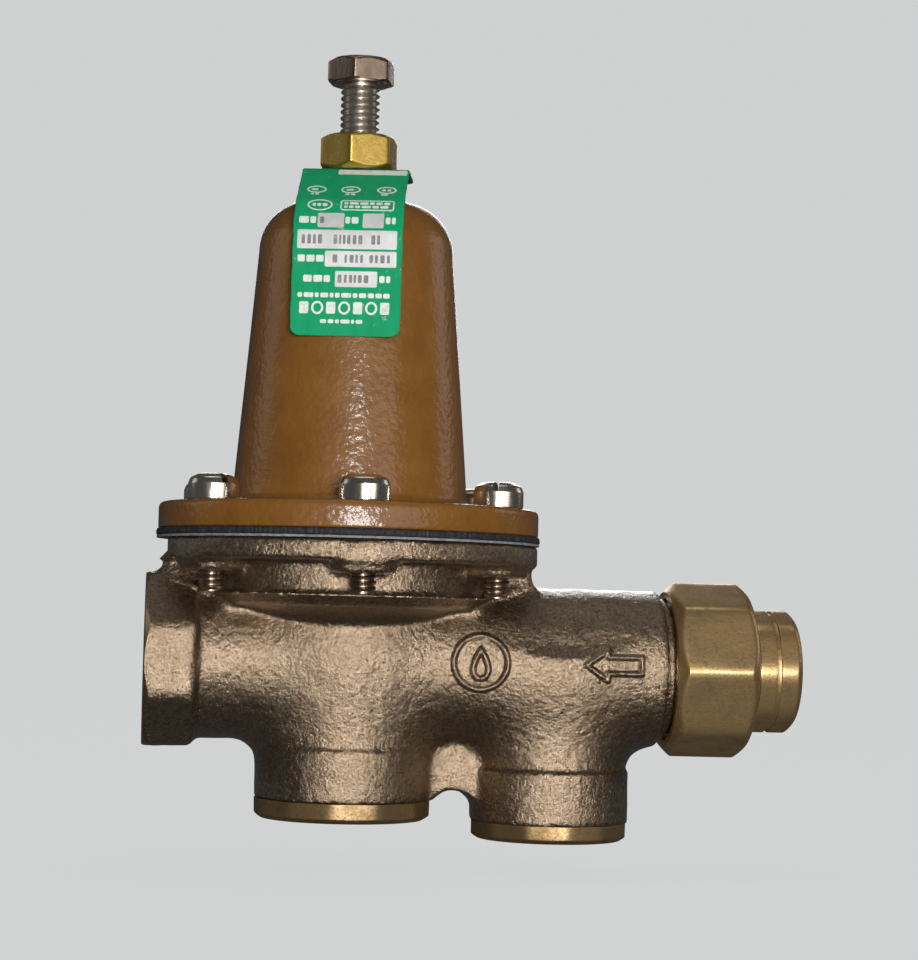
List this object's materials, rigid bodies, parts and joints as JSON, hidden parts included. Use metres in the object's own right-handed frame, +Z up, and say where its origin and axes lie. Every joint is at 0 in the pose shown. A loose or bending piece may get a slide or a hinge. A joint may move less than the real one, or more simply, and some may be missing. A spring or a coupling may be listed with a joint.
{
  "type": "pressure reducing valve",
  "caption": "In-line water pressure reducing valve: cast body, tapered spring cage, adjusting screw with lock nut, strainer and inlet union.",
  "frame": {"origin": "centre of the outlet port's end face, on the pipe line", "axes": "+X along the pipe line from the outlet to the inlet union, +Z up the stem to the adjusting screw, -Y the front with the flow arrow"},
  "size_m": [0.1557, 0.0914, 0.1852],
  "materials": {
    "bronze_casting": "as-cast bronze, sand texture, brown-gold",
    "machined_bronze": "turned bronze, fine tool marks",
    "yellow_brass": "bright milled brass",
    "cage_paint": "glossy golden-brown paint, orange peel",
    "stainless": "bright, worn",
    "dark_steel": "oiled steel",
    "tag_enamel": "green printed enamel on aluminium, satin",
    "diaphragm_rubber": "fabric-reinforced black rubber",
    "gasket_fibre": "pale compressed fibre",
    "spring_steel": "oil-tempered wire",
    "seal_rubber": "matt black",
    "steel_mesh": "fine woven stainless mesh"
  },
  "bodies": {
    "housing": {"valve_body": "bronze_casting", "seat_ring": "machined_bronze", "seat_gasket": "gasket_fibre", "stem_guide": "machined_bronze", "spring_cage": "cage_paint", "cage_screws": "stainless", "diaphragm": "diaphragm_rubber", "diaphragm_gasket": "gasket_fibre", "union_gasket": "gasket_fibre"},
    "stem": {"valve_stem": "machined_bronze", "diaphragm_plate": "dark_steel", "diaphragm_washer": "machined_bronze", "diaphragm_nut": "dark_steel", "disc_holder": "machined_bronze", "seat_disc": "seal_rubber", "disc_nut": "machined_bronze", "adjusting_spring": "spring_steel"},
    "spring_button": {"spring_button": "dark_steel"},
    "adjusting_screw": {"adjusting_screw": "stainless"},
    "lock_nut": {"lock_nut": "yellow_brass"},
    "name_tag": {"name_tag": "tag_enamel"},
    "bottom_seal": {"bottom_plug_o_ring": "seal_rubber"},
    "bottom_plug": {"bottom_plug": "machined_bronze"},
    "strainer": {"strainer_screen": "steel_mesh"},
    "strainer_plug": {"strainer_plug": "machined_bronze", "strainer_plug_o_ring": "seal_rubber"},
    "union_tailpiece": {"union_tailpiece": "machined_bronze"},
    "union_nut": {"union_nut": "machined_bronze"}
  },
  "joints": [
    {"name": "stem_lift", "type": "slide", "parent": "housing", "child": "stem", "axis": [0, 0, 1], "range_m": [0, 0.00195], "stiffness_N_per_m": 12000, "deforming": ["diaphragm"]},
    {"name": "adjust_travel", "type": "slide", "parent": "housing", "child": "spring_button", "axis": [0, 0, -1], "range_m": [0, 0.01201], "deforming": ["adjusting_spring"]},
    {"name": "adjust_turn", "type": "hinge", "parent": "spring_button", "child": "adjusting_screw", "pos_m": [0.0475, 0, 0.12], "axis": [0, 0, -1], "range_deg": [0, 2700]},
    {"name": "lock_nut_turn", "type": "hinge", "parent": "housing", "child": "lock_nut", "pos_m": [0.0475, 0, 0.121], "axis": [0, 0, 1], "range_deg": [0, 360]},
    {"name": "tag_swivel", "type": "hinge", "parent": "housing", "child": "name_tag", "pos_m": [0.0475, 0, 0.1167], "axis": [0, 0, 1], "range_deg": [-60, 60]},
    {"name": "bottom_plug_travel", "type": "slide", "parent": "housing", "child": "bottom_seal", "axis": [0, 0, -1], "range_m": [0, 0.00685]},
    {"name": "bottom_plug_turn", "type": "hinge", "parent": "bottom_seal", "child": "bottom_plug", "pos_m": [0.0475, 0, -0.034], "axis": [0, 0, -1], "range_deg": [0, 1530]},
    {"name": "strainer_travel", "type": "slide", "parent": "housing", "child": "strainer", "axis": [0, 0, -1], "range_m": [0, 0.00685]},
    {"name": "strainer_plug_turn", "type": "hinge", "parent": "strainer", "child": "strainer_plug", "pos_m": [0.0972, 0, -0.038], "axis": [0, 0, -1], "range_deg": [0, 1530]},
    {"name": "union_travel", "type": "slide", "parent": "housing", "child": "union_tailpiece", "axis": [1, 0, 0], "range_m": [0, 0.01114]},
    {"name": "union_nut_turn", "type": "hinge", "parent": "union_tailpiece", "child": "union_nut", "pos_m": [0.135, 0, 0], "axis": [1, 0, 0], "range_deg": [0, 1800]}
  ],
  "couplings": [
    {"joint": "adjust_travel", "follows": "adjust_turn", "m_per_rad": 0.00025266},
    {"joint": "bottom_plug_travel", "follows": "bottom_plug_turn", "m_per_rad": 0.00025266},
    {"joint": "strainer_travel", "follows": "strainer_plug_turn", "m_per_rad": 0.00025266},
    {"joint": "union_travel", "follows": "union_nut_turn", "m_per_rad": 0.00035152}
  ]
}
